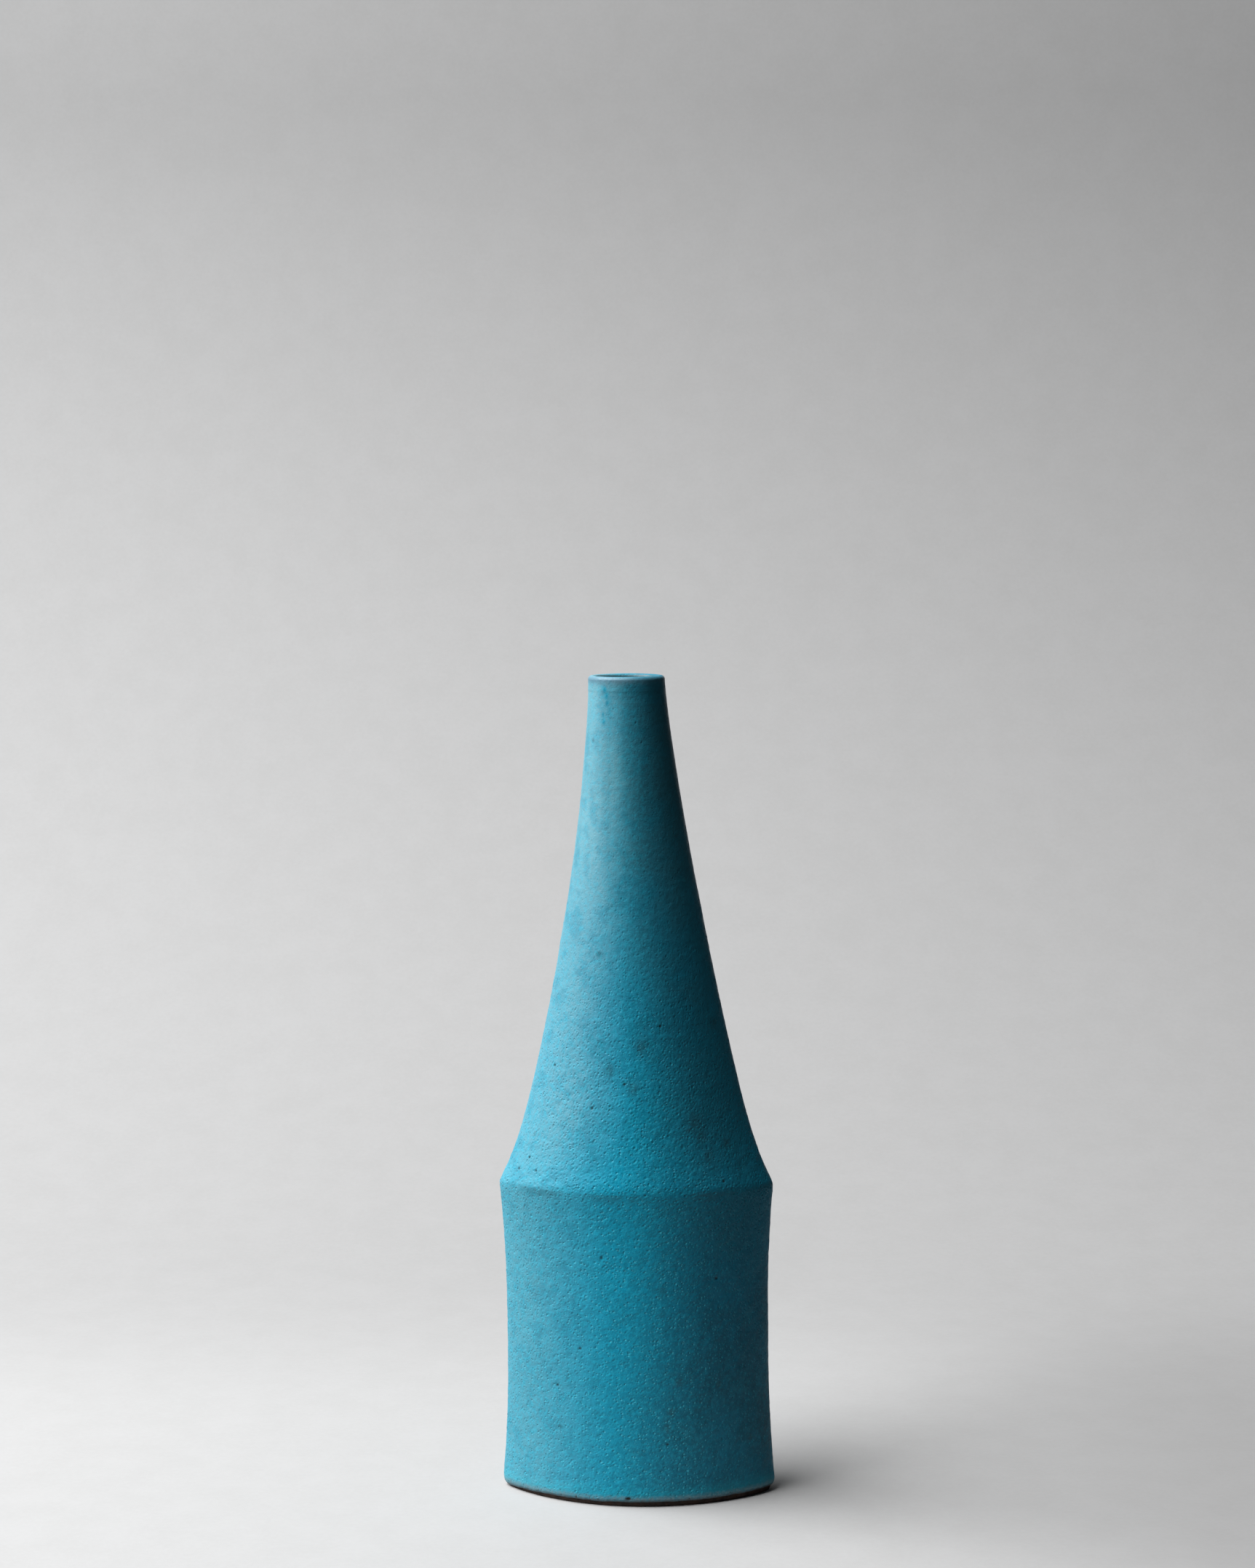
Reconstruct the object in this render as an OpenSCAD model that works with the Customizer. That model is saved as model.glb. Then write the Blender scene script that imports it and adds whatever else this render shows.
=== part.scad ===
// Hand-built stoneware bud vase: a low drum with a pointed-oval plan, a crisp shoulder ridge, and a
// long cone that sweeps up to a narrow round mouth.
//
// One formula gives the outer glazed surface at any height. Every clay section and every coat of glaze
// is a layer between two insets from that surface, so neighbours meet face to face.
// X runs along the long axis of the plan, -Y is the front, and the origin is the middle of the foot.

/* [Overall] */
// Height of the rim above the table
total_h = 220; // [200:1:250]
// Height of the shoulder ridge, where the drum meets the cone
ridge_z = 84.8; // [82:0.1:88]

/* [Half-widths along X] */
// Bottom edge of the foot
foot_half_w = 35.7; // [34:0.1:36.5]
// Top of the foot's bevel
hem_half_w = 36.8; // [36:0.1:38]
// Waist of the drum
waist_half_w = 35.2; // [34:0.1:36]
// Shoulder ridge, before it is rounded
ridge_half_w = 36.9; // [36:0.1:38]
// Mouth, outside
mouth_half_w = 10.2; // [9:0.1:12]

/* [Drum] */
// Height at which the foot's bevel ends
bevel_z = 2.6; // [2:0.1:3]
// Height of the waist
waist_z = 43; // [40:1:48]
// How late the wall turns out from the waist to the foot: 2 is a parabola
foot_curve = 2.4; // [2:0.1:3]
// How late the wall turns out from the waist to the ridge
ridge_curve = 2.8; // [2:0.1:3]
// How far the drum leans to -X between the foot and the ridge
drum_lean = 0.4; // [0:0.1:1]

/* [Cone] */
// How hollow the cone's sides are: 1 is a straight cone
cone_curve = 1.37; // [1.2:0.01:1.5]
// Extra flare just above the ridge
flare = 3.6; // [2:0.1:4]
// Share of the cone's height over which the flare dies away
flare_reach = 0.083; // [0.07:0.001:0.1]
// How far the cone leans to -X at the mouth
cone_lean = 2; // [0:0.1:4]
// Height at which the rings start to turn level again
rim_level_z = 180; // [170:5:200]
// How late the cone starts to lean
lean_power = 2.6; // [2:0.1:3]

/* [Plan] */
// Depth over width at the foot
foot_depth_ratio = 0.5; // [0.48:0.01:0.56]
// Depth over width at the ridge
ridge_depth_ratio = 0.57; // [0.55:0.01:0.62]
// Depth over width at the mouth
mouth_depth_ratio = 0.935; // [0.9:0.005:1]
// How pointed the drum's two ends are: 0.5 is an ellipse and 1 a lens with sharp corners
pointedness = 0.77; // [0.5:0.01:0.9]
// Softness of the pointed ends
tip_softness = 0.25; // [0.2:0.01:0.35]

/* [Ridge] */
// Softening of the ridge
ridge_softness = 0.38; // [0.2:0.01:0.5]
// How far the ridge's two ends lie below its middle
ridge_bow = 1.7; // [0:0.1:2.5]
// Height above and below the ridge over which that bow dies away
bow_reach = 40; // [35:1:45]

/* [Layers] */
// Thickness of the outer glaze
glaze_t = 0.35; // [0.3:0.01:0.5]
// Thickness of the clay wall in the drum and at the ridge
wall_t = 4; // [3.5:0.1:5]
// Thickness of the clay slab under the drum
slab_t = 6; // [5:0.5:7]
// Thickness of the glaze inside
liner_t = 0.3; // [0.2:0.01:0.4]
// Radius of the rounded lip, glaze included
lip_r = 1.1; // [0.9:0.05:1.1]
// Thickness of the glaze that is left on the lip
lip_glaze_t = 0.3; // [0.2:0.01:0.35]
// Height at which the outer glaze stops, leaving the clay bare below
hem_z = 1.6; // [1.2:0.1:1.9]

/* [Seam coils] */
// Radius of the coil pressed into the corner between slab and drum
foot_coil_r = 3; // [2:0.5:4]
// Height of the coil on either side of the ridge
ridge_coil_h = 5; // [4:0.5:6]
// How far the ridge coil stands in from the wall
ridge_coil_t = 2.2; // [1.5:0.1:3]

/* [Hidden] */

ring_n = 48;                      // points in each ring around the vase
lip_z = total_h - lip_r;          // height at which the lip starts to round over
lip_band_h = 2;                   // height of the band below it that the lip glaze covers
lip_band_z = lip_z - lip_band_h;
inner = glaze_t + wall_t;         // inset of the clay's inner face in the drum
lip_inner = 2 * lip_r - lip_glaze_t;  // the same at the lip
ridge_low = ridge_z - ridge_coil_h;
ridge_high = ridge_z + ridge_coil_h;
floor_low = slab_t + foot_coil_r;

// Heights of the rings, from the top of the slab to the ridge and from the ridge to the lip's band.
drum_levels = [slab_t, floor_low, 16, 26, 38, 50, 62, 72, ridge_low, ridge_z - 2, ridge_z];
cone_levels = [ridge_z, ridge_z + 1.5, ridge_z + 3, ridge_high, ridge_z + 10,
               for (k = [1 : 10]) ridge_z + 10 + (lip_band_z - ridge_z - 10) * k / 10];

// ---- The outer surface ------------------------------------------------------------------------

function share(z, low, high) = min(max((z - low) / (high - low), 0), 1);
function mix(a, b, t) = a + (b - a) * t;
function drum_share(z) = share(z, 0, ridge_z);
function cone_share(z) = share(z, ridge_z, total_h);

// The drum is bevelled at the foot, waisted in the middle and turned out again at the ridge.
function drum_half_w(z) =
    z > waist_z
        ? waist_half_w + (ridge_half_w - waist_half_w)
            * pow((z - waist_z) / (ridge_z - waist_z), ridge_curve)
    : z > bevel_z
        ? waist_half_w + (hem_half_w - waist_half_w)
            * pow((waist_z - z) / (waist_z - bevel_z), foot_curve)
    : mix(foot_half_w, hem_half_w, z / bevel_z);

// The cone is a hollow curve, with a short flare above the ridge.
function cone_half_w(z) =
    let (u = min((z - ridge_z) / (lip_z - ridge_z), 1))
    mouth_half_w + (ridge_half_w - mouth_half_w - flare) * pow(1 - u, cone_curve)
        + flare * exp(-u / flare_reach);

// Half-width of the glazed surface: a smooth minimum of the two, which rounds the ridge.
function outer_half_w(z) =
    -ridge_softness * ln(exp(-drum_half_w(z) / ridge_softness) + exp(-cone_half_w(z) / ridge_softness));

function depth_ratio(z) =
    z < ridge_z
        ? mix(foot_depth_ratio, ridge_depth_ratio, drum_share(z))
        : mix(ridge_depth_ratio, mouth_depth_ratio, cone_share(z));

function centre_x(z) =
    drum_lean * (0.5 - drum_share(z)) - cone_lean * pow(cone_share(z), lean_power);

// The rings tip with the leaning cone and turn level again below the lip, so the rim is level.
function ring_slope(z) =
    lean_power * cone_lean * cone_share(z) / (total_h - ridge_z)
    * (1 - share(z, rim_level_z, lip_band_z));

function bow(z) = ridge_bow * pow(max(1 - pow((z - ridge_z) / bow_reach, 2), 0), 2);

// One closed ring of points at height z, moved in from the glazed surface by the inset.
function ring(z, inset) =
    let (half_w = outer_half_w(z) - inset, half_d = outer_half_w(z) * depth_ratio(z) - inset)
    [for (i = [0 : ring_n - 1])
        let (c = cos(360 * i / ring_n), s = sin(360 * i / ring_n),
             power = mix(pointedness, 0.5, cone_share(z)),
             soft = tip_softness * tip_softness)
        [centre_x(z) + half_w * c,
         half_d * s * pow((s * s + soft) / (1 + soft), power - 0.5),
         z + bow(z) * (s * s - 0.5) + ring_slope(z) * half_w * c]];

// ---- Skins between rings ----------------------------------------------------------------------

// Whether a section's step goes up, or outwards to a deeper inset at the same height. Faces split
// their quads along the same diagonal either way, so two layers share exactly the same triangles.
function rises(from, to) = to[0] != from[0] ? to[0] > from[0] : to[1] > from[1];

function strip(section, j, k) =
    [for (i = [0 : ring_n - 1])
        let (next = (i + 1) % ring_n,
             a = j * ring_n + i, b = j * ring_n + next,
             c = k * ring_n + next, d = k * ring_n + i)
        each rises(section[j], section[k]) ? [[a, d, c], [a, c, b]] : [[a, d, b], [d, c, b]]];

function ring_points(section) = [for (step = section) each ring(step[0], step[1])];

// A layer that runs round the vase. The section is its loop of [height, inset] steps.
module layer(section) {
    count = len(section);
    polyhedron(ring_points(section),
               [for (j = [0 : count - 1]) each strip(section, j, (j + 1) % count)]);
}

// A solid closed by the section's first ring below and its last ring above.
module closed_layer(section) {
    last = len(section) - 1;
    polyhedron(ring_points(section),
               concat([for (j = [0 : last - 1]) each strip(section, j, j + 1)],
                      [[for (i = [0 : ring_n - 1]) i]],
                      [[for (i = [ring_n - 1 : -1 : 0]) last * ring_n + i]]));
}

function at_inset(levels, inset) = [for (z = levels) [z, inset]];
function reversed(list) = [for (i = [len(list) - 1 : -1 : 0]) list[i]];

// The clay's inner face thins towards the lip.
function cone_inner(z) = mix(inner, lip_inner, share(z, ridge_high, lip_band_z));

// Steps over the top of the lip, for a round of radius r about the lip's own centre.
function lip_round(r, steps) =
    [for (k = [0 : steps]) [lip_z + r * sin(180 * k / steps), lip_r - r * cos(180 * k / steps)]];

// The coils' faces towards the hollow, moved in by a further inset.
function foot_coil_face(more) =
    [for (k = [0 : 3])
        [floor_low - (foot_coil_r - more) * cos(30 * k),
         inner + foot_coil_r - (foot_coil_r - more) * sin(30 * k)]];
function ridge_coil_face(more) =
    [[ridge_low, inner + more], [ridge_z - 2, inner + 0.8 * ridge_coil_t + more],
     [ridge_z, inner + ridge_coil_t + more], [ridge_z + 3, inner + 0.6 * ridge_coil_t + more],
     [ridge_high, inner + more]];

// The hollow's wall, from the floor to the lip's band, moved in from the clay by the inset.
function hollow_face(more) =
    concat(foot_coil_face(more),
           [for (z = drum_levels) if (z > floor_low && z < ridge_low) [z, inner + more]],
           ridge_coil_face(more),
           [for (z = cone_levels) if (z > ridge_high) [z, cone_inner(z) + more]]);

// ---- Sub-parts --------------------------------------------------------------------------------

module base_slab() {
    color([0.17, 0.11, 0.09])
        closed_layer(at_inset([0, hem_z, bevel_z, slab_t], glaze_t));
}

module drum_wall() {
    color([0.33, 0.25, 0.21])
        layer(concat(at_inset(drum_levels, glaze_t), at_inset(reversed(drum_levels), inner)));
}

module cone_wall() {
    color([0.36, 0.28, 0.24])
        layer(concat(at_inset(cone_levels, glaze_t),
                     [for (step = lip_round(lip_r - lip_glaze_t, 6)) step],
                     [for (z = reversed(cone_levels)) [z, cone_inner(z)]]));
}

module foot_seam_coil() {
    color([0.42, 0.33, 0.28])
        layer(concat([[slab_t, inner]], reversed(foot_coil_face(0))));
}

module shoulder_seam_coil() {
    below = [for (z = drum_levels) if (z > ridge_low) z];
    above = [for (z = cone_levels) if (z > ridge_z && z < ridge_high) z];
    color([0.42, 0.33, 0.28])
        layer(concat(at_inset(concat(below, above), inner), reversed(ridge_coil_face(0))));
}

module drum_glaze() {
    levels = concat([hem_z, bevel_z], drum_levels);
    color([0.13, 0.52, 0.60])
        layer(concat(at_inset(levels, 0), at_inset(reversed(levels), glaze_t)));
}

module cone_glaze() {
    color([0.16, 0.57, 0.66])
        layer(concat(at_inset(cone_levels, 0), at_inset(reversed(cone_levels), glaze_t)));
}

module lip_glaze() {
    color([0.45, 0.55, 0.58])
        layer(concat([[lip_band_z, 0]], lip_round(lip_r, 8), [[lip_band_z, 2 * lip_r]],
                     [[lip_band_z, lip_inner]], reversed(lip_round(lip_r - lip_glaze_t, 6)),
                     [[lip_band_z, glaze_t]]));
}

module liner_glaze() {
    color([0.10, 0.42, 0.50])
        closed_layer(concat(hollow_face(0), reversed(hollow_face(liner_t))));
}

base_slab();
drum_wall();
cone_wall();
foot_seam_coil();
shoulder_seam_coil();
drum_glaze();
cone_glaze();
lip_glaze();
liner_glaze();
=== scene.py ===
"""Looks of the turquoise stoneware bud vase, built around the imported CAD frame.

The glazed surface follows the same formula as the CAD model, at a far finer pitch, and carries real
relief: slow hand-made waves, orange peel, dimples, pinholes and an uneven hem. Lengths in the shape
functions are in millimetres and become metres when a mesh is made.
"""
import math

import bpy
import numpy as np
from mathutils import Matrix, Vector


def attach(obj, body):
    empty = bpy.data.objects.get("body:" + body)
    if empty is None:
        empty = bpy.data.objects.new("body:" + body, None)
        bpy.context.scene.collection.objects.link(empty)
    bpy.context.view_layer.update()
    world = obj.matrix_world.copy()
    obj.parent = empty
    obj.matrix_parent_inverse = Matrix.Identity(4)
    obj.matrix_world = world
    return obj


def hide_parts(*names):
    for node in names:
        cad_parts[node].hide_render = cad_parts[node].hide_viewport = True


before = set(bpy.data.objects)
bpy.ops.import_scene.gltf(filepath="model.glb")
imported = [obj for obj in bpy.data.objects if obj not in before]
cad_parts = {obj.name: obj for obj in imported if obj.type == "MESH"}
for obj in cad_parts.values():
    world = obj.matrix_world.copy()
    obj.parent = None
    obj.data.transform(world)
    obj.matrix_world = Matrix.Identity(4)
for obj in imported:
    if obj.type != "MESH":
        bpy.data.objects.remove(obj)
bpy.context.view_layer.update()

MM = 0.001

# ---- Driving dimensions, as in the CAD model (mm) ----------------------------------------------

TOTAL_H, RIDGE_Z = 220.0, 84.8
FOOT_HALF_W, HEM_HALF_W, WAIST_HALF_W = 35.7, 36.8, 35.2
RIDGE_HALF_W, MOUTH_HALF_W = 36.9, 10.2
BEVEL_Z, WAIST_Z = 2.6, 43.0
FOOT_CURVE, RIDGE_CURVE, DRUM_LEAN = 2.4, 2.8, 0.4
CONE_CURVE, FLARE, FLARE_REACH = 1.37, 3.6, 0.083
CONE_LEAN, LEAN_POWER, RIM_LEVEL_Z = 2.0, 2.6, 180.0
FOOT_RATIO, RIDGE_RATIO, MOUTH_RATIO = 0.5, 0.57, 0.935
POINTEDNESS, TIP_SOFTNESS = 0.77, 0.25
RIDGE_SOFTNESS, RIDGE_BOW, BOW_REACH = 0.38, 1.7, 40.0
BEVEL_SOFTNESS = 0.16
GLAZE_T, WALL_T, SLAB_T, LINER_T = 0.35, 4.0, 6.0, 0.3
LIP_R, LIP_GLAZE_T, LIP_BAND_H = 1.1, 0.3, 2.0
FOOT_COIL_R, RIDGE_COIL_H, RIDGE_COIL_T = 3.0, 5.0, 2.2

LIP_Z = TOTAL_H - LIP_R
LIP_BAND_Z = LIP_Z - LIP_BAND_H
INNER = GLAZE_T + WALL_T

# ---- Camera and light --------------------------------------------------------------------------

CAMERA_DISTANCE = 814.0     # level distance from the vase's axis
CAMERA_HEIGHT = 265.0
CAMERA_AZIMUTH = 4.0        # degrees round to the +X side
CAMERA_PITCH = 5.19         # degrees down
CAMERA_YAW = 0.14
CAMERA_ROLL = -0.28
LENS = 70.7

RING_N = 720                # points round the vase in the fine surface
ROW_PITCH = 0.27            # spacing of its rows, mm
UNDER_RIDGE_PITCH = 0.18    # the same just below the ridge
OVER_RIDGE_PITCH = 0.2      # the same just above it
LIP_PITCH = 0.2             # the same on the straight parts of the lip


# ---- The glazed surface ------------------------------------------------------------------------

def share(z, low, high):
    """How far z is on its way from low to high, from 0 to 1."""
    return np.clip((np.asarray(z, float) - low) / (high - low), 0.0, 1.0)


def mix(a, b, t):
    """a at t = 0 and b at t = 1."""
    return a + (b - a) * t


def soft_least(a, b, softness):
    """The smaller of a and b, rounded where they cross."""
    least = np.minimum(a, b)
    return least - softness * np.log(np.exp((least - a) / softness) + np.exp((least - b) / softness))


def drum_half_w(z):
    """Half-width of the drum: it turns out above and below its waist, with a bevel at the foot."""
    z = np.asarray(z, float)
    above = np.clip((z - WAIST_Z) / (RIDGE_Z - WAIST_Z), 0, None)
    below = np.clip((WAIST_Z - z) / (WAIST_Z - BEVEL_Z), 0, None)
    turned_out = np.where(z > WAIST_Z,
                          (RIDGE_HALF_W - WAIST_HALF_W) * above ** RIDGE_CURVE,
                          (HEM_HALF_W - WAIST_HALF_W) * below ** FOOT_CURVE)
    wall = WAIST_HALF_W + turned_out
    bevel = mix(FOOT_HALF_W, HEM_HALF_W, np.minimum(z, 4 * BEVEL_Z) / BEVEL_Z)
    return np.where(z < 3 * BEVEL_Z, soft_least(wall, bevel, BEVEL_SOFTNESS), wall)


def cone_half_w(z):
    """Half-width of the cone, which flares out just above the ridge."""
    u = np.minimum((np.asarray(z, float) - RIDGE_Z) / (LIP_Z - RIDGE_Z), 1)
    hollow = np.maximum(1 - u, 0) ** CONE_CURVE
    return (MOUTH_HALF_W + (RIDGE_HALF_W - MOUTH_HALF_W - FLARE) * hollow
            + FLARE * np.exp(-u / FLARE_REACH))


def outer_half_w(z):
    """Half-width at height z: a smooth minimum of drum and cone, which rounds the ridge."""
    return soft_least(drum_half_w(z), cone_half_w(z), RIDGE_SOFTNESS)


def depth_ratio(z):
    """Depth over width at height z."""
    return np.where(np.asarray(z) < RIDGE_Z,
                    mix(FOOT_RATIO, RIDGE_RATIO, share(z, 0, RIDGE_Z)),
                    mix(RIDGE_RATIO, MOUTH_RATIO, share(z, RIDGE_Z, TOTAL_H)))


def centre_x(z):
    """How far a ring's centre stands to the side, because the drum and the cone lean to -X."""
    return (DRUM_LEAN * (0.5 - share(z, 0, RIDGE_Z))
            - CONE_LEAN * share(z, RIDGE_Z, TOTAL_H) ** LEAN_POWER)


def rings(z, inset, count=RING_N):
    """Points of rings at heights z, moved in by inset: an array of rings, each count points round."""
    z = np.atleast_1d(np.asarray(z, float))[:, None]
    inset = np.broadcast_to(np.atleast_1d(np.asarray(inset, float))[:, None], z.shape)
    angle = np.arange(count)[None, :] * 2 * np.pi / count
    c, s = np.cos(angle), np.sin(angle)
    up = share(z, RIDGE_Z, TOTAL_H)
    half_w = outer_half_w(z) - inset
    half_d = outer_half_w(z) * depth_ratio(z) - inset
    soft = TIP_SOFTNESS ** 2
    power = mix(POINTEDNESS, 0.5, up) - 0.5
    bow = RIDGE_BOW * np.clip(1 - ((z - RIDGE_Z) / BOW_REACH) ** 2, 0, None) ** 2
    slope = LEAN_POWER * CONE_LEAN * up / (TOTAL_H - RIDGE_Z)
    slope *= 1 - share(z, RIM_LEVEL_Z, LIP_BAND_Z)
    return np.stack([centre_x(z) + half_w * c,
                     half_d * s * ((s * s + soft) / (1 + soft)) ** power,
                     z + bow * (s * s - 0.5) + slope * half_w * c], axis=-1)


def cone_inner(z):
    """Inset of the clay's inner face, which thins towards the lip."""
    return mix(INNER, 2 * LIP_R - LIP_GLAZE_T, share(z, RIDGE_Z + RIDGE_COIL_H, LIP_BAND_Z))


def spaced(low, high, pitch):
    """Even steps from low to high, about pitch apart."""
    return np.linspace(low, high, max(2, int(round((high - low) / pitch)) + 1))


# ---- Relief ------------------------------------------------------------------------------------

def value_noise(points, size, seed):
    """Smooth noise from -1 to 1 with lumps of about the given size, at an array of points."""
    period, away_from_axis = 64, 17.3
    table = np.random.default_rng(seed).uniform(-1, 1, (period,) * 3)
    p = points / size + away_from_axis
    cell = np.floor(p).astype(int)
    f = p - cell
    f = f * f * f * (f * (f * 6 - 15) + 10)
    total = np.zeros(points.shape[:-1])
    for dx in (0, 1):
        for dy in (0, 1):
            for dz in (0, 1):
                weight = (np.where(dx, f[..., 0], 1 - f[..., 0])
                          * np.where(dy, f[..., 1], 1 - f[..., 1])
                          * np.where(dz, f[..., 2], 1 - f[..., 2]))
                total += weight * table[(cell[..., 0] + dx) % period,
                                        (cell[..., 1] + dy) % period,
                                        (cell[..., 2] + dz) % period]
    return total


def grid_normals(grid):
    """Unit normals of a surface given as rings, pointing away from the side where rings rise."""
    along = np.gradient(grid, axis=0)
    around = np.roll(grid, -1, axis=1) - np.roll(grid, 1, axis=1)
    normal = np.cross(around, along)
    return normal / np.maximum(np.linalg.norm(normal, axis=-1, keepdims=True), 1e-9)


def scatter_sites(grid, spacing, chance, seed):
    """Row and column of random points over the surface, about spacing apart. chance(z) thins them."""
    rng = np.random.default_rng(seed)
    height = np.linalg.norm(np.diff(grid[:, RING_N // 4], axis=0), axis=-1)
    travelled = np.concatenate([[0], np.cumsum(height)])
    sites = []
    for level in np.arange(0.5 * spacing, travelled[-1], spacing):
        row_at = np.interp(level, travelled, np.arange(len(travelled)))
        ring = grid[int(row_at)]
        steps = np.linalg.norm(np.roll(ring, -1, axis=0) - ring, axis=-1)
        round_it = np.concatenate([[0], np.cumsum(steps)])
        count = int(round_it[-1] / spacing)
        places = (np.arange(count) + rng.uniform(0, 0.95, count)) * spacing
        columns = np.interp(places, round_it, np.arange(RING_N + 1))
        levels = level + rng.uniform(-0.5, 0.5, count) * spacing
        rows = np.interp(levels, travelled, np.arange(len(travelled)))
        kept = rng.random(count) < chance(ring[0, 2])
        sites.append(np.stack([rows[kept], columns[kept]], axis=-1))
    return np.concatenate(sites)


def point_between(grid, row, column):
    """The point of the surface at a row and column that need not be whole."""
    rows, count = grid.shape[:2]
    low_row, left = int(row), int(column) % count
    high_row, right = min(low_row + 1, rows - 1), (left + 1) % count
    past_row, past_column = row - int(row), column - int(column)
    return mix(mix(grid[low_row, left], grid[low_row, right], past_column),
               mix(grid[high_row, left], grid[high_row, right], past_column), past_row)


def press_dimples(grid, sites, radii, depths, rim=0.32):
    """Height change for round dimples with a slightly raised rim, how deep in one each point is, and
    how near it is to the painted glint on a dimple's lower +X side."""
    rows, count = grid.shape[:2]
    change = np.zeros((rows, count))
    inside = np.zeros((rows, count))
    dimple_glint = np.zeros((rows, count))
    row_gap = np.linalg.norm(np.gradient(grid[:, 0], axis=0), axis=-1)
    column_gap = np.linalg.norm(np.roll(grid, -1, axis=1) - grid, axis=-1)
    least_gap = 0.05
    for (row, column), radius, depth in zip(sites, radii, depths):
        centre = point_between(grid, row, column)
        at_row, at_column = int(row), int(column) % count
        reach = 1.9 * radius
        row_reach = int(reach / max(row_gap[at_row], least_gap)) + 1
        column_reach = int(reach / max(column_gap[at_row, at_column], least_gap)) + 1
        near_rows = np.arange(max(at_row - row_reach, 0), min(at_row + row_reach + 2, rows))[:, None]
        near_columns = np.arange(at_column - column_reach, at_column + column_reach + 2)[None, :] % count
        away = np.linalg.norm(grid[near_rows, near_columns] - centre, axis=-1) / radius
        bowl = np.exp(-(away / 0.62) ** 2)
        lip = rim * np.exp(-((away - 1.15) / 0.33) ** 2)
        change[near_rows, near_columns] += depth * (lip - bowl)
        inside[near_rows, near_columns] = np.maximum(inside[near_rows, near_columns], bowl)
        # A painted glint on the dimple's lower +X side, which faces the light.
        glint_spot = centre + radius * np.array([0.75, 0, -0.35])
        beside = np.linalg.norm(grid[near_rows, near_columns] - glint_spot, axis=-1) / radius
        dimple_glint[near_rows, near_columns] += np.exp(-(beside / 0.55) ** 2)
    return change, inside, np.clip(dimple_glint, 0, 1)


# ---- Mesh making -------------------------------------------------------------------------------

def ring_faces(rows, count, loop):
    """The corners of all faces over rows of rings in one list, and how many corners each face has."""
    index = np.arange(rows * count).reshape(rows, count)
    low = index if loop else index[:-1]
    high = np.roll(index, -1, axis=0) if loop else index[1:]
    quads = np.stack([low, np.roll(low, -1, axis=1), np.roll(high, -1, axis=1), high], axis=-1)
    caps = [] if loop else [index[0][::-1], index[-1]]
    corners = np.concatenate([quads.ravel()] + caps)
    sizes = [4] * (quads.size // 4) + [len(cap) for cap in caps]
    return corners, np.array(sizes, np.int32)


def ring_mesh(name, layers, loop=True):
    """A mesh skinned over rings of equal count. layers is a list of (points, normals) grids, joined in
    order; loop joins the last ring to the first, and otherwise both ends are closed with a cap."""
    grid = np.concatenate([points for points, _ in layers])
    normals = np.concatenate([normal for _, normal in layers])
    vertices = grid.reshape(-1, 3) * MM
    corners, sizes = ring_faces(*grid.shape[:2], loop)
    mesh = bpy.data.meshes.new(name)
    mesh.vertices.add(len(vertices))
    mesh.vertices.foreach_set("co", vertices.astype(np.float32).ravel())
    mesh.loops.add(len(corners))
    mesh.loops.foreach_set("vertex_index", corners.astype(np.int32))
    mesh.polygons.add(len(sizes))
    starts = np.concatenate([[0], np.cumsum(sizes)[:-1]]).astype(np.int32)
    mesh.polygons.foreach_set("loop_start", starts)
    mesh.update(calc_edges=True)
    mesh.validate()
    mesh.polygons.foreach_set("use_smooth", np.ones(len(mesh.polygons), bool))
    mesh.normals_split_custom_set_from_vertices(normals.reshape(-1, 3).astype(np.float32))
    piece = bpy.data.objects.new(name, mesh)
    bpy.context.scene.collection.objects.link(piece)
    return piece


def paint(piece, name, layers):
    """Stores a value for each point, given as one grid per layer, for the material to read."""
    values = np.concatenate([layer.ravel() for layer in layers]).astype(np.float32)
    attribute = piece.data.attributes.new(name, "FLOAT", "POINT")
    attribute.data.foreach_set("value", values)


# ---- The fine outer surface, from the hem over the lip and into the mouth -----------------------

HEM_Z = 1.1     # where the outer glaze ends on average, lower than in the CAD because its edge wanders
outer_z = np.concatenate([
    HEM_Z + np.array([0.0, 0.04, 0.12, 0.25, 0.42, 0.62]),
    spaced(HEM_Z + 0.85, RIDGE_Z - 3, ROW_PITCH),
    spaced(RIDGE_Z - 3, RIDGE_Z, UNDER_RIDGE_PITCH)[1:],
    spaced(RIDGE_Z, RIDGE_Z + 4, OVER_RIDGE_PITCH)[1:],
    spaced(RIDGE_Z + 4, LIP_BAND_Z, ROW_PITCH)[1:],
])
RIDGE_ROW = int(np.argmin(np.abs(outer_z - RIDGE_Z)))
BAND_ROW = len(outer_z) - 1
lip_angle = np.linspace(0, np.pi, 23)
band_z = spaced(LIP_BAND_Z, LIP_Z, LIP_PITCH)[1:-1]
lip_z = np.concatenate([band_z, LIP_Z + LIP_R * np.sin(lip_angle), band_z[::-1]])
lip_inset = np.concatenate([np.zeros(len(band_z)), LIP_R - LIP_R * np.cos(lip_angle),
                            np.full(len(band_z), 2 * LIP_R)])
skin_z = np.concatenate([outer_z, lip_z, [LIP_BAND_Z]])
skin_inset = np.concatenate([np.zeros(len(outer_z)), lip_inset, [2 * LIP_R]])

# At its lower edge the glaze rolls in towards the clay, with a slight bead just above.
HEM_ROLL = [0.33, 0.27, 0.20, 0.13, 0.06, 0.0, -0.03, -0.02]
skin_inset[:len(HEM_ROLL)] = HEM_ROLL
smooth = rings(skin_z, skin_inset)

# The glaze was wiped off the foot by hand, so its edge wanders: low at the -X end, higher in front.
around_angle = np.arange(RING_N) * 2 * np.pi / RING_N
hem_wander = (0.32 * np.cos(around_angle - 5.4) - 0.45 * np.clip(-np.cos(around_angle), 0, 1) ** 6
              + 0.13 * value_noise(smooth[:1], 7.0, 51)[0] + 0.09 * value_noise(smooth[:1], 1.9, 52)[0])


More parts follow.
